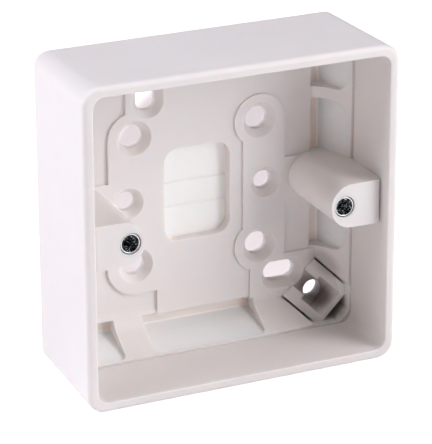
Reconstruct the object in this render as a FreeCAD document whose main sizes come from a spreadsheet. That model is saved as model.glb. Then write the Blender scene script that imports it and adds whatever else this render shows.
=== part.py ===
"""One-gang surface back box, 86 mm square at the back and 35 mm deep, with its two threaded inserts.

The frame: the back lies in the plane y = 0, against the wall, and the open side looks along -Y.
X is to the right and Z up, with the centre of the box at x = 0, z = 0.
A level is a distance from the wall towards the viewer, so a face at level 5 lies at y = -5.
"""

import FreeCAD, Part

import math
import os

import Sketcher
from FreeCAD import Placement, Rotation, Vector

# Driving dimensions, in millimetres and degrees. Each name is also the alias of its cell.
SIZES = {
    # outer case
    "box_width": 86.0,
    "box_depth": 35.0,
    "case_flare": 0.75,
    "corner_radius": 4.0,
    "wall": 2.0,
    "inner_corner_radius": 3.0,
    "rim_round": 1.3,
    "rim_inner_round": 0.35,
    # sloping skirt at the foot of the walls
    "skirt_level": 14.2,
    "skirt_proud": 0.5,
    "skirt_lean": 32.0,
    "skirt_corner_radius": 9.0,
    "cove_radius": 7.0,
    "line_width": 0.7,
    "line_depth": 0.4,
    # levels of the floor and of the relief behind it
    "back_relief": 1.0,
    "relief_border": 5.5,
    "low_floor": 4.2,
    "main_floor": 5.0,
    "high_floor": 5.6,
    # knock-out pockets round the foot of the walls
    "pocket_level": 2.0,
    "pocket_reach": 4.8,
    "panel_foot": 36.8,
    "panel_lean": 0.34,
    "side_panel_top_level": 13.2,
    "side_panel_round": 3.6,
    "base_panel_top_level": 13.8,
    "base_panel_round": 1.6,
    "side_pocket_near": 5.0,
    "side_pocket_far": 21.3,
    "middle_pocket_half": 16.2,
    "corner_pocket_start": 24.4,
    # groove that cores the thick foot of the walls from behind
    "core_wide": 2.4,
    "core_narrow": 0.5,
    "core_height": 9.0,
    "core_half_length": 29.5,
    # cable-entry knock-out in the middle of the back
    "entry_width": 19.0,
    "entry_height": 26.0,
    "entry_radius": 4.0,
    "entry_web": 0.9,
    "upper_score_up": 2.6,
    "lower_score_down": 4.15,
    "score_width": 0.5,
    "score_depth": 0.3,
    # wall-fixing holes
    "big_hole": 6.4,
    "big_hole_place": 17.85,
    "small_hole": 5.2,
    "small_hole_place": 19.7,
    "hole_drop": 0.35,
    "sink_depth": 2.2,
    "sink_spread": 1.7,
    "slot_width": 5.4,
    "slot_rim": 0.4,
    "slot_run": 3.8,
    "low_slot_across": 24.7,
    "low_slot_down": 27.4,
    "top_slot_across": 13.8,
    "top_slot_up": 28.7,
    # outlines of the floor levels
    "hole_land": 7.2,
    "low_hole_land": 8.0,
    "wing_across": 25.2,
    "wing_half": 5.8,
    "upper_step_across": 20.1,
    "lower_step_across": 11.8,
    "high_edge_across": 13.1,
    "high_edge_low_across": 15.2,
    "recess_low": 21.9,
    # screw lugs, measured in from the outside of the case and from the rim
    "screw_inset": 12.85,
    "lug_recess": 3.5,
    "lug_inset": 10.7,
    "lug_radius": 6.0,
    "lug_drop": 1.9,
    "lug_core_level": 18.0,
    "lug_core_wall": 2.0,
    "screw_clearance": 4.4,
    # threaded inserts
    "insert_diameter": 5.8,
    "insert_length": 8.5,
    "insert_sink": 0.3,
    "thread_core": 3.0,
    "insert_mouth": 4.6,
    # earth terminal holder, on the diagonal of the lower right corner
    "holder_half": 6.5,
    "holder_gap": 0.6,
    "holder_start": 41.8,
    "holder_low": 6.6,
    "holder_high": 11.6,
    "holder_slot": 8.0,
    "holder_mouth": 5.5,
    "holder_mouth_length": 3.6,
    "holder_slot_end": 52.0,
    "holder_end_wall": 1.2,
    "terminal_hole": 5.2,
    "terminal_hole_place": 48.6,
}


class Size:
    """A length that knows its number and the expression over the sheet that gives it."""

    def __init__(self, value, text):
        self.value = value
        self.text = text

    def join(self, other, sign, value):
        text = other.text if isinstance(other, Size) else repr(other)
        return Size(value, f"({self.text} {sign} {text})")

    def __add__(self, other):
        return self.join(other, "+", self.value + number(other))

    def __sub__(self, other):
        return self.join(other, "-", self.value - number(other))

    def __mul__(self, other):
        return self.join(other, "*", self.value * number(other))

    def __truediv__(self, other):
        return self.join(other, "/", self.value / number(other))

    def __neg__(self):
        return Size(-self.value, f"(-1 * {self.text})")


def number(item):
    """The plain number of a Size or of a number."""
    return item.value if isinstance(item, Size) else float(item)


def make_sheet(doc):
    """Write every driving dimension to the sheet, one row each, and alias its cell."""
    sheet = doc.addObject("Spreadsheet::Sheet", "sizes")
    for row, (name, value) in enumerate(SIZES.items(), start=1):
        sheet.set(f"A{row}", name.replace("_", " "))
        sheet.set(f"B{row}", str(value))
        sheet.setAlias(f"B{row}", name)
    doc.recompute()
    sizes = {name: Size(value, f"sizes.{name}") for name, value in SIZES.items()}
    sizes["lug_level"] = sizes["box_depth"] - sizes["lug_recess"]
    sizes["lug_centre"] = sizes["box_width"] / 2 - sizes["lug_inset"]
    sizes["screw_across"] = sizes["box_width"] / 2 - sizes["screw_inset"]
    return sizes


def bind(item, prop, length):
    """Bind a property to the sheet, or set it where the length is a plain number."""
    if isinstance(length, Size):
        item.setExpression(prop, length.text)
    else:
        item.setExpression(prop, repr(float(length)))


class Piece:
    """One PartDesign body, with the sketches and features that build it up."""

    def __init__(self, doc, label):
        self.doc = doc
        self.body = doc.addObject("PartDesign::Body", label)
        self.body.Label = label
        self.volume = 0.0

    def plane(self, role):
        return next(item for item in self.body.Origin.OriginFeatures if item.Role == role)

    def sketch(self, name, role="XZ_Plane", offset=None, turn=None):
        """A sketch on an origin plane. On XZ_Plane the offset is the level of the sketch."""
        sketch = self.body.newObject("Sketcher::SketchObject", name)
        sketch.AttachmentSupport = (self.plane(role), [""])
        sketch.MapMode = "FlatFace"
        if turn is not None:
            sketch.AttachmentOffset = Placement(Vector(0, 0, 0), turn)
        if offset is not None:
            bind(sketch, "AttachmentOffset.Base.z", offset)
        return sketch

    def feature(self, kind, name, profile, **lengths):
        """Add a feature on a sketch, with its lengths bound, and check that it did its work."""
        before = self.volume
        item = self.body.newObject(f"PartDesign::{kind}", name)
        item.Profile = profile
        for prop, value in lengths.items():
            if isinstance(value, (Size, float)):
                bind(item, prop, value)
            else:
                setattr(item, prop, value)
        self.settle(item, before, kind == "Pocket")
        profile.Visibility = False
        return item

    def loft(self, name, start, end):
        """Cut a straight-sided loft between two sketches."""
        before = self.volume
        item = self.body.newObject("PartDesign::SubtractiveLoft", name)
        item.Profile = start
        item.Sections = [end]
        item.Ruled = True
        self.settle(item, before, True)
        return item

    def settle(self, item, before, cuts):
        """Recompute, and stop if the feature failed or changed the volume the wrong way."""
        self.doc.recompute()
        if "Invalid" in item.State or "Error" in item.State or item.Shape.isNull():
            raise RuntimeError(f"{item.Label} failed: {item.State}")
        self.volume = item.Shape.Volume
        change = self.volume - before
        if (change >= 0) if cuts else (change <= 0):
            raise RuntimeError(f"{item.Label} changed the volume by {change:.3f}")

    def dress(self, kind, name, size, wanted):
        """Fillet or chamfer the edges of the last feature that the test picks out."""
        last = self.body.Tip
        edges = [f"Edge{i}" for i, edge in enumerate(last.Shape.Edges, start=1) if wanted(edge)]
        item = self.body.newObject(f"PartDesign::{kind}", name)
        item.Base = (last, edges)
        bind(item, "Radius" if kind == "Fillet" else "Size", size)
        self.doc.recompute()
        if not item.Shape.isValid() or "Invalid" in item.State:
            raise RuntimeError(f"{name} failed on {len(edges)} edges")
        self.volume = item.Shape.Volume
        return item


def place(sketch, geo, pos, across=None, up=None):
    """Fix one point of a sketch at a distance from its origin, each way that is given."""
    for kind, prop, length in (("DistanceX", 0, across), ("DistanceY", 1, up)):
        if length is None:
            continue
        index = sketch.addConstraint(Sketcher.Constraint(kind, -1, 1, geo, pos, number(length)))
        if isinstance(length, Size):
            sketch.setExpression(f"Constraints[{index}]", length.text)


def circle(sketch, diameter, across, up):
    """A circle of a sketch, with its diameter and its centre bound."""
    centre = Vector(number(across), number(up), 0)
    geo = sketch.addGeometry(Part.Circle(centre, Vector(0, 0, 1), number(diameter) / 2))
    index = sketch.addConstraint(Sketcher.Constraint("Diameter", geo, number(diameter)))
    sketch.setExpression(f"Constraints[{index}]", diameter.text)
    place(sketch, geo, 3, across, up)


def polygon(sketch, points):
    """A closed outline of straight lines through bound corners."""
    first = sketch.GeometryCount
    total = len(points)
    spots = [Vector(number(a), number(b), 0) for a, b in points]
    for i in range(total):
        sketch.addGeometry(Part.LineSegment(spots[i], spots[(i + 1) % total]))
    for i, (across, up) in enumerate(points):
        after = first + (i - 1) % total
        sketch.addConstraint(Sketcher.Constraint("Coincident", after, 2, first + i, 1))
        place(sketch, first + i, 1, across, up)


def rounded(sketch, left, right, low, high, radius):
    """A rectangle with four equal rounded corners, bound at its four sides."""
    x0, x1, z0, z1, r = (number(v) for v in (left, right, low, high, radius))
    first = sketch.GeometryCount
    corners = ((x1 - r, z0 + r, -90), (x1 - r, z1 - r, 0), (x0 + r, z1 - r, 90), (x0 + r, z0 + r, 180))
    sides = (((x0 + r, z0), (x1 - r, z0)), ((x1, z0 + r), (x1, z1 - r)),
             ((x1 - r, z1), (x0 + r, z1)), ((x0, z1 - r), (x0, z0 + r)))
    for (start, end), (cx, cz, angle) in zip(sides, corners):
        sketch.addGeometry(Part.LineSegment(Vector(*start, 0), Vector(*end, 0)))
        ring = Part.Circle(Vector(cx, cz, 0), Vector(0, 0, 1), r)
        sketch.addGeometry(Part.ArcOfCircle(ring, math.radians(angle), math.radians(angle + 90)))
    for k in range(4):
        line, arc, following = first + 2 * k, first + 2 * k + 1, first + (2 * k + 2) % 8
        sketch.addConstraint(Sketcher.Constraint("Tangent", line, 2, arc, 1))
        sketch.addConstraint(Sketcher.Constraint("Tangent", arc, 2, following, 1))
        sketch.addConstraint(Sketcher.Constraint("Vertical" if k % 2 else "Horizontal", line))
        if k:
            sketch.addConstraint(Sketcher.Constraint("Equal", first + 1, arc))
    index = sketch.addConstraint(Sketcher.Constraint("Radius", first + 1, r))
    sketch.setExpression(f"Constraints[{index}]", radius.text)
    place(sketch, first, 1, None, low)
    place(sketch, first + 2, 1, right, None)
    place(sketch, first + 4, 1, None, high)
    place(sketch, first + 6, 1, left, None)


def slot(sketch, run, width, across, up, upright):
    """A slot with round ends. The run is the distance between the centres of its ends."""
    half, r = number(run) / 2, number(width) / 2
    cx, cz = number(across), number(up)
    step = Vector(0, half, 0) if upright else Vector(half, 0, 0)
    side = Vector(-r, 0, 0) if upright else Vector(0, r, 0)
    turn = math.pi / 2 if upright else 0.0
    middle = Vector(cx, cz, 0)
    first = sketch.GeometryCount
    ends = (Part.Circle(middle + step, Vector(0, 0, 1), r), Part.Circle(middle - step, Vector(0, 0, 1), r))
    sketch.addGeometry(Part.ArcOfCircle(ends[0], turn - math.pi / 2, turn + math.pi / 2))
    sketch.addGeometry(Part.LineSegment(middle + step + side, middle - step + side))
    sketch.addGeometry(Part.ArcOfCircle(ends[1], turn + math.pi / 2, turn + 3 * math.pi / 2))
    sketch.addGeometry(Part.LineSegment(middle - step - side, middle + step - side))
    for k in range(4):
        sketch.addConstraint(Sketcher.Constraint("Tangent", first + k, 2, first + (k + 1) % 4, 1))
    sketch.addConstraint(Sketcher.Constraint("Equal", first, first + 2))
    index = sketch.addConstraint(Sketcher.Constraint("Radius", first, r))
    sketch.setExpression(f"Constraints[{index}]", (width / 2).text)
    if upright:
        place(sketch, first, 3, across, up + run / 2)
        place(sketch, first + 2, 3, across, up - run / 2)
    else:
        place(sketch, first, 3, across + run / 2, up)
        place(sketch, first + 2, 3, across - run / 2, up)


def at_level(edge, level, slack=1e-4):
    """Whether an edge lies wholly at a level."""
    box = edge.BoundBox
    return abs(box.YMin + level) < slack and abs(box.YMax + level) < slack


def dome(sketch, centre, outer, radius, sign):
    """A lug outline: a half circle towards the middle of the box, and straight sides to the wall."""
    cx, ox, r = (number(v) for v in (centre, outer, radius))
    first = sketch.GeometryCount
    ring = Part.Circle(Vector(cx, 0, 0), Vector(0, 0, 1), r)
    span = (math.pi / 2, 3 * math.pi / 2) if sign > 0 else (-math.pi / 2, math.pi / 2)
    sketch.addGeometry(Part.ArcOfCircle(ring, *span))
    corners = [Vector(cx, -r * sign, 0), Vector(ox, -r * sign, 0), Vector(ox, r * sign, 0), Vector(cx, r * sign, 0)]
    for start, end in zip(corners, corners[1:]):
        sketch.addGeometry(Part.LineSegment(start, end))
    for k in range(4):
        kind = "Tangent" if k in (0, 3) else "Coincident"
        sketch.addConstraint(Sketcher.Constraint(kind, first + k, 2, first + (k + 1) % 4, 1))
    sketch.addConstraint(Sketcher.Constraint("Vertical", first + 2))
    sketch.addConstraint(Sketcher.Constraint("Horizontal", first + 1))
    index = sketch.addConstraint(Sketcher.Constraint("Radius", first, r))
    sketch.setExpression(f"Constraints[{index}]", radius.text)
    place(sketch, first, 3, centre, radius * 0)
    place(sketch, first + 1, 2, outer, None)


def case_shell(piece, s):
    """The outer block with its soft rim, hollowed by straight walls and a coved skirt."""
    half, inner = s["box_width"] / 2, s["box_width"] / 2 - s["wall"]
    skirt = inner - s["skirt_proud"]
    outline = piece.sketch("case_outline")
    rounded(outline, -half, half, -half, half, s["corner_radius"])
    flare = Size(math.degrees(math.atan2(SIZES["case_flare"], SIZES["box_depth"])),
                 "atan(sizes.case_flare / sizes.box_depth)")
    piece.feature("Pad", "case", outline, Length=s["box_depth"], TaperAngle=flare)

    mouth = piece.sketch("mouth_outline", offset=s["box_depth"])
    rounded(mouth, -inner, inner, -inner, inner, s["inner_corner_radius"])
    piece.feature("Pocket", "mouth", mouth, Length=s["box_depth"] - s["skirt_level"])

    foot = skirt - (s["skirt_level"] - s["low_floor"]) * math.tan(math.radians(SIZES["skirt_lean"]))
    top = piece.sketch("skirt_top", offset=s["skirt_level"])
    rounded(top, -skirt, skirt, -skirt, skirt, s["inner_corner_radius"])
    base = piece.sketch("skirt_foot", offset=s["low_floor"])
    rounded(base, -foot, foot, -foot, foot, s["skirt_corner_radius"])
    piece.loft("skirt", top, base)
    piece.dress("Fillet", "cove", s["cove_radius"], lambda edge: at_level(edge, SIZES["low_floor"]))
    groove = piece.sketch("wall_line_outline", offset=s["skirt_level"] + s["line_width"])
    reach = inner + s["line_depth"]
    rounded(groove, -reach, reach, -reach, reach, s["inner_corner_radius"])
    piece.feature("Pocket", "wall_line", groove, Length=s["line_width"])

    middle = SIZES["box_width"] / 2 - SIZES["wall"] / 2

    def outside(edge):
        box = edge.BoundBox
        return max(-box.XMin, box.XMax, -box.ZMin, box.ZMax) > middle

    def on_rim(edge):
        return at_level(edge, SIZES["box_depth"])

    piece.dress("Fillet", "rim_outside", s["rim_round"], lambda edge: on_rim(edge) and outside(edge))
    piece.dress("Fillet", "rim_inside", s["rim_inner_round"], lambda edge: on_rim(edge) and not outside(edge))


def floor_levels(piece, s):
    """The plates that stand on the low floor: the main floor, then the higher right side."""
    reach, spot = s["panel_foot"], s["big_hole_place"]
    high, low = spot - s["hole_drop"], -spot - s["hole_drop"]
    wing, half = s["wing_across"], s["wing_half"]
    step, low_step = s["upper_step_across"], s["lower_step_across"]
    low_edge = low - s["low_hole_land"]
    start = s["low_floor"] / 2

    outline = piece.sketch("main_floor_outline", offset=start)
    polygon(outline, (
        (reach, -reach), (reach, reach), (-step, reach), (-step, high), (-wing, high), (-wing, half),
        (-reach, half), (-reach, -half), (-wing, -half), (-wing, low), (-spot, low),
        (-spot, low_edge), (-low_step, low_edge), (-low_step, -reach)))
    piece.feature("Pad", "main_floor", outline, Length=s["main_floor"] - start)
    lands = piece.sketch("main_lands_outline", offset=start)
    circle(lands, s["hole_land"] * 2, -spot, high)
    circle(lands, s["low_hole_land"] * 2, -spot, low)
    piece.feature("Pad", "main_lands", lands, Length=s["main_floor"] - start)

    edge, low_edge, base = s["high_edge_across"], s["high_edge_low_across"], -s["recess_low"]
    outline = piece.sketch("high_floor_outline", offset=start)
    polygon(outline, ((reach, -reach), (reach, base), (wing, base), (wing, -half), (reach, -half),
                      (reach, half), (wing, half), (wing, high), (edge, high),
                      (edge, low), (low_edge, low), (low_edge, -reach)))
    piece.feature("Pad", "high_floor", outline, Length=s["high_floor"] - start)
    lands = piece.sketch("high_lands_outline", offset=start)
    circle(lands, s["hole_land"] * 2, spot, high)
    circle(lands, s["hole_land"] * 2, spot, low)
    piece.feature("Pad", "high_lands", lands, Length=s["high_floor"] - start)


def wall_pockets(piece, s):
    """The pockets that thin the foot of each wall, every one with a sloping panel behind it.

    Each wall has one sketch, in the plane of its panels. The first axis of the sketch runs along
    the wall, and the second up the panel, from the foot. The walls go anticlockwise from the
    right, so the first axis points up on the right wall and to the left on the top wall.
    """
    lean = SIZES["panel_lean"]
    stretch = math.hypot(1.0, lean)
    tilt = math.atan(lean)
    side = ((s["side_panel_top_level"] - s["pocket_level"]) * stretch, s["side_panel_round"])
    base = ((s["base_panel_top_level"] - s["pocket_level"]) * stretch, s["base_panel_round"])
    along = Vector(0, 1, 0)
    uphill = Vector(math.sin(tilt), 0, math.cos(tilt))
    facing = Rotation(along, uphill, along.cross(uphill), "XYZ")
    foot = Vector(SIZES["panel_foot"], 0, SIZES["pocket_level"])
    near, far, half = s["side_pocket_near"], s["side_pocket_far"], s["middle_pocket_half"]
    start, corner = s["corner_pocket_start"], s["panel_foot"]
    walls = (
        ("right", side, ((near, far), (-far, -near), (start, corner))),
        ("top", base, ((-half, half), (-corner, -start), (start, corner))),
        ("left", side, ((near, far), (-far, -near), (-corner, -start), (start, corner))),
        ("bottom", base, ((-half, half), (-corner, -start))),
    )
    for k, (name, (height, radius), spans) in enumerate(walls):
        turn = Rotation(Vector(0, 0, 1), 90 * k)
        sketch = piece.sketch(f"{name}_panels")
        sketch.AttachmentOffset = Placement(turn.multVec(foot), turn.multiply(facing))
        for low, high in spans:
            panel(sketch, low, high, height, radius)
        inward = turn.multVec(Vector(-1, 0, 0))
        piece.feature("Pocket", f"{name}_pockets", sketch, Length=s["pocket_reach"],
                      UseCustomVector=True, AlongSketchNormal=False,
                      Direction=Vector(inward.x, 0, inward.y))


def panel(sketch, left, right, height, radius):
    """A panel outline: square at its foot, with its two upper corners rounded."""
    x0, x1, top, r = (number(v) for v in (left, right, height, radius))
    first = sketch.GeometryCount
    up = Vector(0, 0, 1)
    sketch.addGeometry(Part.LineSegment(Vector(x0, 0, 0), Vector(x1, 0, 0)))
    sketch.addGeometry(Part.LineSegment(Vector(x1, 0, 0), Vector(x1, top - r, 0)))
    sketch.addGeometry(Part.ArcOfCircle(Part.Circle(Vector(x1 - r, top - r, 0), up, r), 0, math.pi / 2))
    sketch.addGeometry(Part.LineSegment(Vector(x1 - r, top, 0), Vector(x0 + r, top, 0)))
    sketch.addGeometry(Part.ArcOfCircle(Part.Circle(Vector(x0 + r, top - r, 0), up, r), math.pi / 2, math.pi))
    sketch.addGeometry(Part.LineSegment(Vector(x0, top - r, 0), Vector(x0, 0, 0)))
    for k in range(6):
        kind = "Tangent" if 1 <= k <= 4 else "Coincident"
        sketch.addConstraint(Sketcher.Constraint(kind, first + k, 2, first + (k + 1) % 6, 1))
    sketch.addConstraint(Sketcher.Constraint("Vertical", first + 1))
    sketch.addConstraint(Sketcher.Constraint("Horizontal", first + 3))
    sketch.addConstraint(Sketcher.Constraint("Vertical", first + 5))
    sketch.addConstraint(Sketcher.Constraint("Equal", first + 2, first + 4))
    index = sketch.addConstraint(Sketcher.Constraint("Radius", first + 2, r))
    sketch.setExpression(f"Constraints[{index}]", radius.text)
    place(sketch, first, 1, left, height * 0)
    place(sketch, first, 2, right, height * 0)
    place(sketch, first + 3, 1, None, height)


def lugs(piece, s):
    """The two screw lugs, each on a column down to the back and let into its side wall."""
    outer = s["box_width"] / 2 - s["wall"] / 2
    inner = s["box_width"] / 2 - s["wall"]
    centre, radius, level = s["lug_centre"], s["lug_radius"], s["lug_level"]
    across = s["screw_across"]

    column = piece.sketch("lug_outlines", offset=s["pocket_level"])
    fall = piece.sketch("lug_fall_sections", "XY_Plane")
    hollow = piece.sketch("lug_core_outlines", offset=s["lug_core_level"])
    seat = piece.sketch("insert_seat_outlines", offset=level)
    run = piece.sketch("screw_run_outlines", offset=level)
    for sign in (1, -1):
        dome(column, centre * sign, outer * sign, radius, sign)
        quarter_cut(fall, inner * sign, (inner - s["lug_drop"]) * sign, -level, s["lug_drop"], sign)
        core = (radius - s["lug_core_wall"]) * 2
        slot(hollow, radius * 0.5, core, (centre + radius / 4) * sign, radius * 0, False)
        circle(seat, s["insert_diameter"], across * sign, radius * 0)
        circle(run, s["screw_clearance"], across * sign, radius * 0)
    piece.feature("Pad", "lugs", column, Length=level - s["pocket_level"])
    piece.feature("Pocket", "lug_fall", fall, Length=radius * 2, Midplane=True)
    piece.feature("Pocket", "lug_core", hollow, Length=s["lug_core_level"])
    piece.feature("Pocket", "insert_seats", seat, Length=s["insert_length"] + s["insert_sink"])
    piece.feature("Pocket", "screw_runs", run, Length=level - s["lug_core_level"] + s["wall"] / 2)


def quarter_cut(sketch, wall_x, edge_x, face_y, radius, sign):
    """The region outside a quarter round, where the face of a lug falls away at the wall."""
    x_wall, x_edge, y_face, r = (number(v) for v in (wall_x, edge_x, face_y, radius))
    ring = Part.Circle(Vector(x_edge, y_face + r, 0), Vector(0, 0, 1), r)
    span = (-math.pi / 2, 0.0) if sign > 0 else (math.pi, 3 * math.pi / 2)
    low, high = Vector(x_wall, y_face + r, 0), Vector(x_wall, y_face, 0)
    arc = sketch.addGeometry(Part.ArcOfCircle(ring, *span))
    rise = sketch.addGeometry(Part.LineSegment(low, high))
    face = sketch.addGeometry(Part.LineSegment(high, Vector(x_edge, y_face, 0)))
    wall_end, face_end = (2, 1) if sign > 0 else (1, 2)
    sketch.addConstraint(Sketcher.Constraint("Coincident", arc, wall_end, rise, 1))
    sketch.addConstraint(Sketcher.Constraint("Coincident", rise, 2, face, 1))
    sketch.addConstraint(Sketcher.Constraint("Coincident", face, 2, arc, face_end))
    place(sketch, rise, 2, wall_x, face_y)
    place(sketch, rise, 1, wall_x, face_y + radius)
    place(sketch, face, 2, edge_x, face_y)
    place(sketch, arc, 3, edge_x, None)


def back_and_entry(piece, s):
    """The relief behind the back, the coring groove, and the thin web of the cable entry."""
    half = s["box_width"] / 2
    flat = half - s["relief_border"]
    relief = piece.sketch("relief_outline", offset=s["back_relief"])
    rounded(relief, -flat, flat, -flat, flat, s["inner_corner_radius"])
    piece.feature("Pocket", "relief", relief, Length=s["back_relief"])

    inner = half - s["wall"]
    groove = piece.sketch("core_section", "XY_Plane")
    polygon(groove, ((inner - s["core_wide"], inner * 0), (inner, inner * 0),
                     (inner, -s["core_height"]), (inner - s["core_narrow"], -s["core_height"])))
    core = piece.feature("Pocket", "core", groove, Length=s["core_half_length"] * 2, Midplane=True)
    before = piece.volume
    turn = piece.body.newObject("PartDesign::PolarPattern", "core_round")
    turn.Originals = [core]
    turn.Axis = (piece.plane("Y_Axis"), [""])
    turn.Angle = 360
    turn.Occurrences = 4
    piece.body.Tip = turn
    piece.settle(turn, before, True)

    web = s["back_relief"] + s["entry_web"]
    wide, tall = s["entry_width"] / 2, s["entry_height"] / 2
    entry = piece.sketch("entry_outline", offset=s["high_floor"])
    rounded(entry, -wide, wide, -tall, tall, s["entry_radius"])
    piece.feature("Pocket", "entry", entry, Length=s["high_floor"] - web)
    scores = piece.sketch("score_outlines", offset=web)
    thin = s["score_width"] / 2
    for line in (s["upper_score_up"], -s["lower_score_down"]):
        polygon(scores, ((-wide, line - thin), (wide, line - thin), (wide, line + thin), (-wide, line + thin)))
    piece.feature("Pocket", "scores", scores, Length=s["score_depth"])


def wall_holes(piece, s):
    """The wall-fixing holes: four large, two small, and two slots, all sunk for screw heads."""
    big, small, level, drop = s["big_hole_place"], s["small_hole_place"], s["high_floor"], s["hole_drop"]
    sunk = s["sink_spread"] * 2
    land = piece.sketch("low_slot_land_outline", offset=s["low_floor"] / 2)
    low_slot = (s["low_slot_across"], -s["low_slot_down"], False)
    top_slot = (-s["top_slot_across"], s["top_slot_up"], True)
    slot(land, s["slot_run"], s["slot_width"] + sunk + s["slot_rim"] * 2, *low_slot)
    piece.feature("Pad", "low_slot_land", land, Length=s["high_floor"] - s["low_floor"] / 2)

    through = piece.sketch("hole_outlines", offset=level)
    sides = ((-1, s["main_floor"], top_slot), (1, s["high_floor"], low_slot))
    for sign, floor, slotted in sides:
        name = "right" if sign > 0 else "left"
        mouth = piece.sketch(f"{name}_sink_outlines", offset=floor)
        for sketch, more in ((through, sunk * 0), (mouth, sunk)):
            for up in (big - drop, -big - drop):
                circle(sketch, s["big_hole"] + more, big * sign, up)
            circle(sketch, s["small_hole"] + more, small * sign, -drop)
            slot(sketch, s["slot_run"], s["slot_width"] + more, *slotted)
        angle = -math.degrees(math.atan2(SIZES["sink_spread"], SIZES["sink_depth"]))
        piece.feature("Pocket", f"{name}_sinks", mouth, Length=s["sink_depth"], TaperAngle=angle)
    diagonal = s["terminal_hole_place"] / math.sqrt(2)
    circle(through, s["terminal_hole"], diagonal, -diagonal)
    piece.feature("Pocket", "holes", through, Length=level)


def terminal_holder(piece, s):
    """The ramped, slotted holder that stands across the lower right corner."""
    inner = s["box_width"] / 2 - s["wall"]
    brim = s["skirt_level"] + s["skirt_proud"]
    corner = inner - s["inner_corner_radius"]
    back = s["holder_start"] / math.sqrt(2)
    half = (s["holder_half"] + s["holder_gap"]) * math.sqrt(2)
    clear = piece.sketch("holder_corner_outline", offset=brim)
    polygon(clear, ((back + half / 2, -back + half / 2), (inner, half - inner), (inner, -corner),
                    (corner, -inner), (inner - half, -inner), (back - half / 2, -back - half / 2)))
    piece.feature("Pocket", "holder_corner", clear, Length=brim - s["low_floor"])

    # On this plane the first axis runs along the diagonal towards the corner.
    turn = Rotation(Vector(0, 1, 0), 45)
    start, end, low = s["holder_start"], s["holder_slot_end"], s["low_floor"]
    far = end + s["holder_end_wall"]
    top = -(s["holder_high"] + s["wall"])
    inside = start + s["holder_mouth_length"]
    ahead = start - s["holder_mouth_length"] / 4

    ramp = piece.sketch("holder_ramp_section", "XY_Plane", turn=turn)
    polygon(ramp, ((start, -low / 2), (far, -low / 2), (far, -s["holder_high"]), (start, -s["holder_low"])))
    piece.feature("Pad", "holder_ramp", ramp, Length=s["holder_half"] * 2, Midplane=True)
    gap = piece.sketch("holder_gap_section", "XY_Plane", turn=turn)
    polygon(gap, ((inside, -low), (end, -low), (end, top), (inside, top)))
    piece.feature("Pocket", "holder_gap", gap, Length=s["holder_slot"], Midplane=True)
    mouth = piece.sketch("holder_mouth_section", "XY_Plane", turn=turn)
    polygon(mouth, ((ahead, -low), (inside, -low), (inside, top), (ahead, top)))
    piece.feature("Pocket", "holder_mouth", mouth, Length=s["holder_mouth"], Midplane=True)


def make_housing(doc, s):
    """The one moulding: case, floor, pockets, lugs, holes and terminal holder."""
    piece = Piece(doc, "housing")
    case_shell(piece, s)
    floor_levels(piece, s)
    wall_pockets(piece, s)
    terminal_holder(piece, s)
    wall_holes(piece, s)
    back_and_entry(piece, s)
    lugs(piece, s)
    return piece.body


def make_insert(doc, s, label, sign):
    """A threaded bush, turned about its own axis and set into its lug."""
    piece = Piece(doc, label)
    section = piece.sketch(f"{label}_section", "XY_Plane")
    radius, bore, mouth = s["insert_diameter"] / 2, s["thread_core"] / 2, s["insert_mouth"] / 2
    length, lead = s["insert_length"], mouth - bore
    polygon(section, ((bore, lead * 0), (radius, lead * 0), (radius, -length),
                      (mouth, -length), (bore, lead - length)))
    piece.feature("Revolution", f"{label}_turned", section, ReferenceAxis=(section, ["V_Axis"]), Angle=360.0)
    across = s["screw_across"] * sign
    seat = s["insert_sink"] + s["insert_length"] - s["lug_level"]
    piece.body.Placement = Placement(Vector(across.value, seat.value, 0), Rotation())
    piece.body.setExpression("Placement.Base.x", across.text)
    piece.body.setExpression("Placement.Base.y", seat.text)
    doc.recompute()
    return piece.body


def main():
    doc = FreeCAD.newDocument("back_box")
    s = make_sheet(doc)
    bodies = [
        make_housing(doc, s),
        make_insert(doc, s, "left_insert", -1),
        make_insert(doc, s, "right_insert", 1),
    ]
    doc.recompute()
    for item in doc.Objects:
        if "Invalid" in item.State or "Error" in item.State:
            raise RuntimeError(f"{item.Label} is left in state {item.State}")
    os.makedirs("parts", exist_ok=True)
    for body in bodies:
        shape = body.Shape
        if shape.isNull() or not shape.isValid() or len(shape.Solids) != 1:
            raise RuntimeError(f"{body.Label} is not one valid solid")
        shape.exportStep(os.path.join("parts", f"{body.Label}.step"))
        print(f"{body.Label}: {shape.Volume / 1000:.2f} cm3, {len(shape.Faces)} faces")


main()
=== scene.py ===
"""Looks of a moulded surface back box: its plastic, its two threaded bushes and the light of a small studio.

Lengths are in metres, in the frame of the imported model: +Z is up and the open front faces -Y.
"""

import math

import bmesh
import bpy
from mathutils import Matrix, Vector

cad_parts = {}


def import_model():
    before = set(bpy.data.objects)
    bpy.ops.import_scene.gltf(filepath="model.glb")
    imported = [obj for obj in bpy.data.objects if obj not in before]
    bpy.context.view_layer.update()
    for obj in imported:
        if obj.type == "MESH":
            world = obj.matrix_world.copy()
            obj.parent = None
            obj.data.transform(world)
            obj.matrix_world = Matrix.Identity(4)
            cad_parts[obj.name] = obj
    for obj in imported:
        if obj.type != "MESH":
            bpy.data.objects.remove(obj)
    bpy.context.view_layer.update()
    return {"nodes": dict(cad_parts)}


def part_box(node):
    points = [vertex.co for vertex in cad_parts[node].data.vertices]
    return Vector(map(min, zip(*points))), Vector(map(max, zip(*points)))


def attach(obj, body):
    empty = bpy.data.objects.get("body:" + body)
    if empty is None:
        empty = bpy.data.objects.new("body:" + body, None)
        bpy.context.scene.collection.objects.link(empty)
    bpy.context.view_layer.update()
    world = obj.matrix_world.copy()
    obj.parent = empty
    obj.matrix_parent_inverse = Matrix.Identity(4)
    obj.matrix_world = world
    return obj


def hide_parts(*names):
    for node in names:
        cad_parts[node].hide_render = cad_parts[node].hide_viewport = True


MM = 0.001

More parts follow.
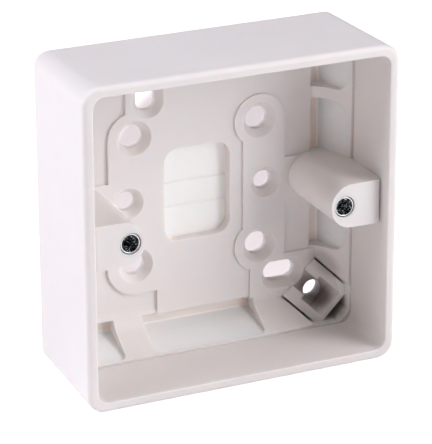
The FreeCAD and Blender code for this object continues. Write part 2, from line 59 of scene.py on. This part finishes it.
# The camera, as fitted to the case, its rim and its two screw bushes.
CAMERA_PLACE = (-265.1 * MM, -600.4 * MM, 252.3 * MM)
CAMERA_YAW = 0.4264
CAMERA_PITCH = -0.38096
CAMERA_ROLL = -0.00297
CAMERA_LENS = 214.7
CAMERA_CLIP = (0.01, 50.0)
SENSOR_LONG_SIDE = 36.0

# The lamps: name, bearing from -Y towards +X, height, distance, width and height, spread, power, colour.
LAMPS = (
    ("front_high", 45.0, 32.0, 1.1, (0.6, 0.6), 180.0, 6.2, (0.98, 0.96, 1.0)),
    ("front_low", 38.0, 5.0, 1.1, (0.6, 0.6), 180.0, 4.3, (0.9, 0.94, 1.0)),
    ("left_high", -100.0, 55.0, 1.1, (0.6, 0.6), 180.0, 7.4, (0.885, 0.89, 1.0)),
    ("left_low", -100.0, 30.0, 1.1, (0.6, 0.6), 180.0, 4.6, (0.93, 0.92, 1.0)),
    ("left_front", -50.0, 10.0, 1.1, (0.6, 0.6), 180.0, 0.8, (1.0, 0.93, 0.93)),
    ("behind", 180.0, 0.0, 0.5, (0.08, 0.08), 25.0, 0.03, (0.9, 0.94, 1.0)),
    ("right_side", 90.0, 0.0, 0.5, (0.03, 0.08), 25.0, 0.005, (0.9, 0.94, 1.0)),
)
# What the lamps are turned to: the middle of the case.
LAMP_AIM = (0.0, -17.5 * MM, 0.0)
SURROUND = 0.05

# The floor, and a painted shadow on the stretch of it close behind the case.
FLOOR_EDGE = 6.0
FLOOR_ROUGHNESS = 0.9
FLOOR_COLOUR = (0.85, 0.85, 0.86)
FLOOR_GLOW = 0.8
FLOOR_GLOW_COLOUR = (1.0, 0.9, 0.88)
SHADE_COLOUR = (0.88, 0.8, 0.77)
SHADE_GLOW = 0.03
SHADE_PLACE = (0.0475, 0.0934)
SHADE_REACH = (0.034, 0.12)
SHADE_FADE = (0.92, 1.12)

# The noise of the grain and of the mottling.
GRAIN_DETAIL = 3.0
MOTTLE_DETAIL = 4.0
MOTTLE_ROUGHNESS = 0.6

# The moulding: its colours, how light spreads in it, its sheen, its grain and its bump. A grain is two
# scales, the fine one and the slow mottling. A bump is a strength and a height.
MOULDING_DARK = (0.835, 0.787, 0.757)
MOULDING_PALE = (0.885, 0.842, 0.813)
# Painted light: the next colour is laid on the thin panels and the web, for light shining through them.
MOULDING_PAINTED_THROUGH_LIGHT = (0.965, 0.93, 0.895)
LIGHT_RADII = (1.0, 0.85, 0.75)
LIGHT_SCALE = 0.9 * MM
MOULDING_ROUGHNESS = (0.40, 0.52)
MOULDING_GRAIN = (2600.0, 45.0)
MOULDING_BUMP = (0.12, 0.05 * MM)

# Where the moulding is thin and painted light is laid: the leaning panels and the web. A fade says where a
# mask starts and ends.
PANEL_LEAN = 0.34
PANEL_FOOT_FADE = (35.6 * MM, 35.85 * MM)
PANEL_TOP_FADE = (13.8 * MM, 14.2 * MM)
PANEL_WALL_FADE = (41.0 * MM, 41.2 * MM)
WEB_SIDE_FADE = (12.9 * MM, 13.3 * MM)
WEB_LEVEL_FADE = (2.1 * MM, 2.3 * MM)
OUTDOORS_FADE = (41.0 * MM, 41.8 * MM)

# Each spot of painted shade (terminal holder, bush mouths): its middle, its reach along the diagonal, out of
# the wall and across, colour, strength.
DEEP_SHADE = (0.22, 0.175, 0.16)
BUSH_MOUTH_PAINTED_SHADE = (0.45, 0.44, 0.44)
DARK_SPOTS = (
    ((35.2 * MM, -5.0 * MM, -35.2 * MM), (9.5 * MM, 7.8 * MM, 4.6 * MM), DEEP_SHADE, 0.85),
    ((39.3 * MM, -6.5 * MM, -39.3 * MM), (4.6 * MM, 8.0 * MM, 7.5 * MM), DEEP_SHADE, 0.6),
    ((36.6 * MM, -7.0 * MM, -25.8 * MM), (6.5 * MM, 8.0 * MM, 4.0 * MM), DEEP_SHADE, 0.4),
    ((-30.15 * MM, -31.5 * MM, 0.0), (4.3 * MM, 2.0 * MM, 4.3 * MM), BUSH_MOUTH_PAINTED_SHADE, 0.35),
    ((30.15 * MM, -31.5 * MM, 0.0), (4.3 * MM, 2.0 * MM, 4.3 * MM), BUSH_MOUTH_PAINTED_SHADE, 0.35),
)
SPOT_TURN = math.pi / 4
SPOT_FADE = (0.35, 1.0)

# The plated steel: its lip, its bore painted dark as shade with painted glints, its sheen, its grain and its
# bump.
LIP_DARK = (0.62, 0.63, 0.65)
LIP_PALE = (0.86, 0.87, 0.88)
BORE_PAINTED_SHADE = (0.018, 0.022, 0.024)
BORE_PAINTED_GLINTS = (0.62, 0.66, 0.66)
PAINTED_GLINT_FADE = (0.56, 0.62)
STEEL_ROUGHNESS = (0.25, 0.5)
STEEL_GRAIN = (2200.0, 900.0)
STEEL_BUMP = (0.2, 0.03 * MM)

# The threaded bushes.
BUSH_SIDES = 72
BUSH_ACROSS = 30.15 * MM
BUSH_LIP = 2.62 * MM
BUSH_MOUTH = 2.34 * MM
BUSH_STEP = 0.4 * MM
BUSH_LEAD = 0.75 * MM
STEP_FALL = 0.05 * MM
LIP_EDGE = 0.08 * MM
MOUTH_EDGE = 0.06 * MM
LEAD_SPREAD = 0.15 * MM
LEAD_RUN = 0.1 * MM
LIP_INNER_FADE = (2.32 * MM, 2.37 * MM)
LIP_OUTER_FADE = (2.6 * MM, 2.66 * MM)
THREAD_ROOT = 1.78 * MM
THREAD_RIDGE = 0.24 * MM
THREAD_PITCH = 0.6 * MM
TURN_STEPS = 40
RIDGE_SIDES = 8


def new_material(name):
    """An empty node material, with its tree and its principled shader."""
    material = bpy.data.materials.new(name)
    material.use_nodes = True
    tree = material.node_tree
    return material, tree, tree.nodes["Principled BSDF"]


def grain_group():
    """Fine moulded grain: a height that varies at one scale, and a slow mottling mask."""
    group = bpy.data.node_groups.new("moulded_grain", "ShaderNodeTree")
    group.interface.new_socket("Place", in_out="INPUT", socket_type="NodeSocketVector")
    group.interface.new_socket("Grain Scale", in_out="INPUT", socket_type="NodeSocketFloat")
    group.interface.new_socket("Mottle Scale", in_out="INPUT", socket_type="NodeSocketFloat")
    group.interface.new_socket("Grain", in_out="OUTPUT", socket_type="NodeSocketFloat")
    group.interface.new_socket("Mottle", in_out="OUTPUT", socket_type="NodeSocketFloat")
    entry = group.nodes.new("NodeGroupInput")
    leave = group.nodes.new("NodeGroupOutput")
    fine = group.nodes.new("ShaderNodeTexNoise")
    fine.inputs["Detail"].default_value = GRAIN_DETAIL
    slow = group.nodes.new("ShaderNodeTexNoise")
    slow.inputs["Detail"].default_value = MOTTLE_DETAIL
    slow.inputs["Roughness"].default_value = MOTTLE_ROUGHNESS
    for noise, scale, result in ((fine, "Grain Scale", "Grain"), (slow, "Mottle Scale", "Mottle")):
        group.links.new(entry.outputs["Place"], noise.inputs["Vector"])
        group.links.new(entry.outputs[scale], noise.inputs["Scale"])
        group.links.new(noise.outputs["Fac"], leave.inputs[result])
    return group


def place_grain(tree, group, scales):
    """The grain and the mottling of one material, and the piece's own coordinates that they lie on."""
    spot = tree.nodes.new("ShaderNodeTexCoord").outputs["Object"]
    node = tree.nodes.new("ShaderNodeGroup")
    node.node_tree = group
    node.inputs["Grain Scale"].default_value, node.inputs["Mottle Scale"].default_value = scales
    tree.links.new(spot, node.inputs["Place"])
    return node.outputs["Grain"], node.outputs["Mottle"], spot


def blend(tree, mask, low, high):
    """A colour that goes from low to high as the mask goes from 0 to 1. Each is a colour or a socket."""
    mix = tree.nodes.new("ShaderNodeMix")
    mix.data_type = "RGBA"
    for name, colour in (("A", low), ("B", high)):
        if isinstance(colour, tuple):
            mix.inputs[name].default_value = (*colour, 1.0)
        else:
            tree.links.new(colour, mix.inputs[name])
    tree.links.new(mask, mix.inputs["Factor"])
    return mix.outputs["Result"]


def ramp_value(tree, mask, low, high):
    """A value that goes from low to high as the mask goes from 0 to 1."""
    ranged = tree.nodes.new("ShaderNodeMapRange")
    ranged.inputs["To Min"].default_value = low
    ranged.inputs["To Max"].default_value = high
    tree.links.new(mask, ranged.inputs["Value"])
    return ranged.outputs["Result"]


def fade(tree, value, ends, to_low=0.0, to_high=1.0):
    """A smooth mask that goes from to_low to to_high as the value goes from one end to the other."""
    ranged = tree.nodes.new("ShaderNodeMapRange")
    ranged.interpolation_type = "SMOOTHSTEP"
    ranged.inputs["From Min"].default_value, ranged.inputs["From Max"].default_value = ends
    ranged.inputs["To Min"].default_value = to_low
    ranged.inputs["To Max"].default_value = to_high
    tree.links.new(value, ranged.inputs["Value"])
    return ranged.outputs["Result"]


def fade_out(tree, value, ends):
    """A smooth mask that goes from 1 to 0 as the value goes from one end to the other."""
    return fade(tree, value, ends, 1.0, 0.0)


def maths(tree, operation, first, second=None):
    """One sum of two values or numbers."""
    node = tree.nodes.new("ShaderNodeMath")
    node.operation = operation
    for k, item in enumerate((first, second)):
        if isinstance(item, float):
            node.inputs[k].default_value = item
        elif item is not None:
            tree.links.new(item, node.inputs[k])
    return node.outputs[0]


def length_of(tree, vector):
    """The length of a vector."""
    node = tree.nodes.new("ShaderNodeVectorMath")
    node.operation = "LENGTH"
    tree.links.new(vector, node.inputs[0])
    return node.outputs["Value"]


def away_from(tree, spot, middle, turn, reach):
    """How far a point lies from a middle, as a share of the reach along each turned axis."""
    lay = tree.nodes.new("ShaderNodeMapping")
    lay.vector_type = "TEXTURE"
    lay.inputs["Location"].default_value = middle
    lay.inputs["Rotation"].default_value = turn
    lay.inputs["Scale"].default_value = reach
    tree.links.new(spot, lay.inputs["Vector"])
    return length_of(tree, lay.outputs["Vector"])


def roughen(tree, shader, grain, mottle, roughness, bump):
    """A sheen that varies with the mottling, and a bump from the grain."""
    tree.links.new(ramp_value(tree, mottle, *roughness), shader.inputs["Roughness"])
    node = tree.nodes.new("ShaderNodeBump")
    node.inputs["Strength"].default_value, node.inputs["Distance"].default_value = bump
    tree.links.new(grain, node.inputs["Height"])
    tree.links.new(node.outputs["Normal"], shader.inputs["Normal"])


def out_and_level(tree, spot):
    """How far out a point lies from the middle of the case, and its level above the back."""
    split = tree.nodes.new("ShaderNodeSeparateXYZ")
    tree.links.new(spot, split.inputs["Vector"])
    across = maths(tree, "ABSOLUTE", split.outputs["X"])
    up = maths(tree, "ABSOLUTE", split.outputs["Z"])
    return maths(tree, "MAXIMUM", across, up), maths(tree, "MULTIPLY", split.outputs["Y"], -1.0)


def thin_places(tree, out, level):
    """A mask of the thin panels at the foot of the walls and of the web of the cable entry."""
    slope = maths(tree, "SUBTRACT", out, maths(tree, "MULTIPLY", level, PANEL_LEAN))
    foot, top = fade(tree, slope, PANEL_FOOT_FADE), fade_out(tree, level, PANEL_TOP_FADE)
    panels = maths(tree, "MULTIPLY", foot, top)
    inside = maths(tree, "MULTIPLY", panels, fade_out(tree, out, PANEL_WALL_FADE))
    web = maths(tree, "MULTIPLY", fade_out(tree, out, WEB_SIDE_FADE), fade_out(tree, level, WEB_LEVEL_FADE))
    return maths(tree, "MAXIMUM", inside, web)


def moulding_material(group):
    """White urea moulding: it lets a little light through, and has a soft sheen and a very fine grain. Its
    colour holds painted light on the thin places and painted shade in the dark spots.
    """
    material, tree, shader = new_material("white_moulding")
    grain, mottle, spot = place_grain(tree, group, MOULDING_GRAIN)
    out, level = out_and_level(tree, spot)
    shade = blend(tree, mottle, MOULDING_DARK, MOULDING_PALE)
    # Painted light: the thin panels and the web are paler, for light that shines through them.
    shade = blend(tree, thin_places(tree, out, level), shade, MOULDING_PAINTED_THROUGH_LIGHT)
    indoors = fade_out(tree, out, OUTDOORS_FADE)
    # Painted shade: each spot darkens the colour in the terminal holder or round a bush's mouth.
    for middle, reach, colour, strength in DARK_SPOTS:
        near = fade_out(tree, away_from(tree, spot, middle, (0.0, SPOT_TURN, 0.0), reach), SPOT_FADE)
        mask = maths(tree, "MULTIPLY", maths(tree, "MULTIPLY", near, indoors), strength)
        shade = blend(tree, mask, shade, colour)
    tree.links.new(shade, shader.inputs["Base Color"])
    shader.inputs["Subsurface Weight"].default_value = 1.0
    shader.inputs["Subsurface Radius"].default_value = LIGHT_RADII
    shader.inputs["Subsurface Scale"].default_value = LIGHT_SCALE
    roughen(tree, shader, grain, mottle, MOULDING_ROUGHNESS, MOULDING_BUMP)
    return material


def steel_material(group):
    """Zinc-plated steel: a bright lip, and a bore painted near black as shade, with painted glints on the
    thread.
    """
    material, tree, shader = new_material("plated_steel")
    grain, mottle, spot = place_grain(tree, group, STEEL_GRAIN)
    lip = blend(tree, mottle, LIP_DARK, LIP_PALE)
    # Painted shade in the bore, and painted glints where the fine grain is high.
    bore = blend(tree, fade(tree, grain, PAINTED_GLINT_FADE), BORE_PAINTED_SHADE, BORE_PAINTED_GLINTS)
    split = tree.nodes.new("ShaderNodeSeparateXYZ")
    tree.links.new(spot, split.inputs["Vector"])
    across = maths(tree, "SUBTRACT", maths(tree, "ABSOLUTE", split.outputs["X"]), BUSH_ACROSS)
    flat = tree.nodes.new("ShaderNodeCombineXYZ")
    tree.links.new(across, flat.inputs["X"])
    tree.links.new(split.outputs["Z"], flat.inputs["Z"])
    radius = length_of(tree, flat.outputs["Vector"])
    rim = maths(tree, "MULTIPLY", fade(tree, radius, LIP_INNER_FADE), fade_out(tree, radius, LIP_OUTER_FADE))
    tree.links.new(blend(tree, rim, bore, lip), shader.inputs["Base Color"])
    shader.inputs["Metallic"].default_value = 1.0
    roughen(tree, shader, grain, mottle, STEEL_ROUGHNESS, STEEL_BUMP)
    return material


def thread_tree():
    """Geometry nodes for the thread of a bush: a round-topped ridge wound along -Y from the origin."""
    tree = bpy.data.node_groups.new("bush_thread", "GeometryNodeTree")
    socket = tree.interface.new_socket
    socket("Geometry", in_out="INPUT", socket_type="NodeSocketGeometry")
    wanted = {}
    for name in ("Root Radius", "Ridge", "Pitch", "Length"):
        wanted[name] = socket(name, in_out="INPUT", socket_type="NodeSocketFloat").identifier
    wanted["Material"] = socket("Material", in_out="INPUT", socket_type="NodeSocketMaterial").identifier
    socket("Geometry", in_out="OUTPUT", socket_type="NodeSocketGeometry")
    nodes, link = tree.nodes, tree.links.new
    entry, leave = nodes.new("NodeGroupInput"), nodes.new("NodeGroupOutput")
    turns = nodes.new("ShaderNodeMath")
    turns.operation = "DIVIDE"
    spiral = nodes.new("GeometryNodeCurveSpiral")
    spiral.inputs["Resolution"].default_value = TURN_STEPS
    ridge = nodes.new("GeometryNodeCurvePrimitiveCircle")
    ridge.inputs["Resolution"].default_value = RIDGE_SIDES
    sweep = nodes.new("GeometryNodeCurveToMesh")
    sweep.inputs["Fill Caps"].default_value = True
    lay = nodes.new("GeometryNodeTransform")
    lay.inputs["Rotation"].default_value = (math.pi / 2, 0.0, 0.0)
    real = nodes.new("GeometryNodeRealizeInstances")
    paint = nodes.new("GeometryNodeSetMaterial")
    link(entry.outputs["Length"], turns.inputs[0])
    link(entry.outputs["Pitch"], turns.inputs[1])
    link(turns.outputs[0], spiral.inputs["Rotations"])
    link(entry.outputs["Root Radius"], spiral.inputs["Start Radius"])
    link(entry.outputs["Root Radius"], spiral.inputs["End Radius"])
    link(entry.outputs["Length"], spiral.inputs["Height"])
    link(entry.outputs["Ridge"], ridge.inputs["Radius"])
    link(spiral.outputs["Curve"], sweep.inputs["Curve"])
    link(ridge.outputs["Curve"], sweep.inputs["Profile Curve"])
    link(sweep.outputs["Mesh"], lay.inputs["Geometry"])
    link(lay.outputs["Geometry"], real.inputs["Geometry"])
    link(real.outputs["Geometry"], paint.inputs["Geometry"])
    link(entry.outputs["Material"], paint.inputs["Material"])
    link(paint.outputs["Geometry"], leave.inputs["Geometry"])
    return tree, wanted


def wind_thread(tree, wanted, values):
    """The mesh that the thread tree makes with these values."""
    mesh = bpy.data.meshes.new("thread_start")
    holder = bpy.data.objects.new("thread_start", mesh)
    bpy.context.collection.objects.link(holder)
    modifier = holder.modifiers.new("thread", "NODES")
    modifier.node_group = tree
    for name, value in values.items():
        modifier[wanted[name]] = value
    graph = bpy.context.evaluated_depsgraph_get()
    made = bpy.data.meshes.new_from_object(holder.evaluated_get(graph))
    holder.modifiers.remove(modifier)
    bpy.data.objects.remove(holder)
    return made


def turned(made, profile, centre, face):
    """Adds a turned body to a bmesh. The profile is pairs of a radius and a depth behind the face."""
    rings = []
    for radius, depth in profile:
        ring = []
        for k in range(BUSH_SIDES):
            angle = 2 * math.pi * k / BUSH_SIDES
            ring.append(made.verts.new((centre[0] + radius * math.cos(angle), face + depth,
                                        centre[1] + radius * math.sin(angle))))
        rings.append(ring)
    for i, ring in enumerate(rings):
        following = rings[(i + 1) % len(rings)]
        for k in range(BUSH_SIDES):
            j = (k + 1) % BUSH_SIDES
            made.faces.new((ring[k], ring[j], following[j], following[k]))


def make_bush(node, tree, wanted, material):
    """A threaded bush in place of one plain insert: a bright lip, a dark mouth and a wound thread."""
    low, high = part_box(node)
    centre = ((low[0] + high[0]) / 2, (low[2] + high[2]) / 2)
    front, back = low[1], high[1]
    outer, length = (high[0] - low[0]) / 2, back - front
    profile = (
        (outer, length), (outer, BUSH_STEP), (BUSH_LIP, BUSH_STEP - STEP_FALL), (BUSH_LIP, LIP_EDGE),
        (BUSH_LIP - LIP_EDGE, 0.0), (BUSH_MOUTH + MOUTH_EDGE, 0.0), (BUSH_MOUTH, MOUTH_EDGE),
        (THREAD_ROOT + LEAD_SPREAD, BUSH_LEAD), (THREAD_ROOT, BUSH_LEAD + LEAD_RUN), (THREAD_ROOT, length))
    made = bmesh.new()
    turned(made, profile, centre, front)
    thread = wind_thread(tree, wanted, {
        "Root Radius": THREAD_ROOT, "Ridge": THREAD_RIDGE, "Pitch": THREAD_PITCH,
        "Length": length - BUSH_LEAD, "Material": material})
    thread.transform(Matrix.Translation((centre[0], back - THREAD_RIDGE, centre[1])))
    made.from_mesh(thread)
    bmesh.ops.recalc_face_normals(made, faces=made.faces)
    mesh = bpy.data.meshes.new(f"{node}_bush")
    made.to_mesh(mesh)
    made.free()
    for face in mesh.polygons:
        face.use_smooth = True
        face.material_index = 0
    mesh.materials.clear()
    mesh.materials.append(material)
    bush = bpy.data.objects.new(f"{node}_bush", mesh)
    bpy.context.collection.objects.link(bush)
    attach(bush, "root")
    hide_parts(node)


def seen_by(tree, first, second):
    """A mask that is 1 for two kinds of ray."""
    paths = tree.nodes.new("ShaderNodeLightPath")
    return maths(tree, "MAXIMUM", paths.outputs[first], paths.outputs[second])


def floor_material():
    """Pale floor that the camera sees as white, and that keeps the shadow on it. Close behind the case a
    shadow is painted: a darker colour and less glow.
    """
    material, tree, shader = new_material("pale_floor")
    shader.inputs["Roughness"].default_value = FLOOR_ROUGHNESS
    shader.inputs["Specular IOR Level"].default_value = 0.0
    spot = tree.nodes.new("ShaderNodeTexCoord").outputs["Object"]
    # Painted shadow: close behind the case the floor's colour is darker and its glow lower.
    away = away_from(tree, spot, (*SHADE_PLACE, 0.0), (0.0, 0.0, -CAMERA_YAW), (*SHADE_REACH, 1.0))
    open_floor = fade(tree, away, SHADE_FADE)
    tree.links.new(blend(tree, open_floor, SHADE_COLOUR, FLOOR_COLOUR), shader.inputs["Base Color"])
    level = ramp_value(tree, open_floor, SHADE_GLOW, FLOOR_GLOW)
    glow = maths(tree, "MULTIPLY", seen_by(tree, "Is Camera Ray", "Is Glossy Ray"), level)
    shader.inputs["Emission Color"].default_value = (*FLOOR_GLOW_COLOUR, 1.0)
    tree.links.new(glow, shader.inputs["Emission Strength"])
    return material


def lay_floor(below):
    """A plain floor just under the part."""
    mesh = bpy.data.meshes.new("floor")
    corners = [(x * FLOOR_EDGE, y * FLOOR_EDGE, below) for x, y in ((-1, -1), (1, -1), (1, 1), (-1, 1))]
    mesh.from_pydata(corners, [], [(0, 1, 2, 3)])
    floor = bpy.data.objects.new("floor", mesh)
    bpy.context.collection.objects.link(floor)
    mesh.materials.append(floor_material())


def set_camera():
    """The photograph's own view."""
    sight = Vector((math.sin(CAMERA_YAW) * math.cos(CAMERA_PITCH),
                    math.cos(CAMERA_YAW) * math.cos(CAMERA_PITCH),
                    math.sin(CAMERA_PITCH)))
    level = Vector((math.cos(CAMERA_YAW), -math.sin(CAMERA_YAW), 0.0))
    upright = level.cross(sight)
    right = level * math.cos(CAMERA_ROLL) + upright * math.sin(CAMERA_ROLL)
    up = upright * math.cos(CAMERA_ROLL) - level * math.sin(CAMERA_ROLL)
    camera = bpy.data.cameras.new("camera")
    camera.lens = CAMERA_LENS
    camera.sensor_width = SENSOR_LONG_SIDE
    camera.clip_start, camera.clip_end = CAMERA_CLIP
    holder = bpy.data.objects.new("camera", camera)
    bpy.context.collection.objects.link(holder)
    turn = Matrix((right, up, -sight)).transposed().to_4x4()
    holder.matrix_world = Matrix.Translation(Vector(CAMERA_PLACE)) @ turn
    bpy.context.scene.camera = holder


def hang_lamp(name, bearing, height, distance, size, spread, power, colour):
    """A soft lamp that looks at the case. The bearing turns from -Y towards +X."""
    turn, rise = math.radians(bearing), math.radians(height)
    lamp = bpy.data.lights.new(name, "AREA")
    lamp.shape = "RECTANGLE"
    lamp.size, lamp.size_y = size
    lamp.spread = math.radians(spread)
    lamp.energy = power
    lamp.color = colour
    holder = bpy.data.objects.new(name, lamp)
    bpy.context.collection.objects.link(holder)
    place = Vector((math.sin(turn) * math.cos(rise), -math.cos(turn) * math.cos(rise), math.sin(rise)))
    holder.location = Vector(LAMP_AIM) + place * distance
    holder.rotation_mode = "QUATERNION"
    holder.rotation_quaternion = (-place).to_track_quat("-Z", "Y")
    holder.visible_camera = False


def light_studio():
    """A pale surround that the camera sees as white, and the soft lamps."""
    world = bpy.data.worlds.new("studio")
    bpy.context.scene.world = world
    world.use_nodes = True
    tree = world.node_tree
    back = tree.nodes["Background"]
    back.inputs["Color"].default_value = (1.0, 1.0, 1.0, 1.0)
    level = ramp_value(tree, seen_by(tree, "Is Camera Ray", "Is Transmission Ray"), SURROUND, 1.0)
    tree.links.new(level, back.inputs["Strength"])
    for lamp in LAMPS:
        hang_lamp(*lamp)


def main():
    """Loads the frame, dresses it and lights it."""
    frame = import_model()
    set_camera()
    grain = grain_group()
    moulding = moulding_material(grain)
    steel = steel_material(grain)
    for node, material in (("housing", moulding), ("left_insert", steel), ("right_insert", steel)):
        for place in frame["nodes"][node].material_slots:
            place.material = material
    tree, wanted = thread_tree()
    for node in ("left_insert", "right_insert"):
        make_bush(node, tree, wanted, steel)
    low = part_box("housing")[0]
    lay_floor(low[2])
    light_studio()
    bpy.context.scene.view_settings.view_transform = "Standard"


main()
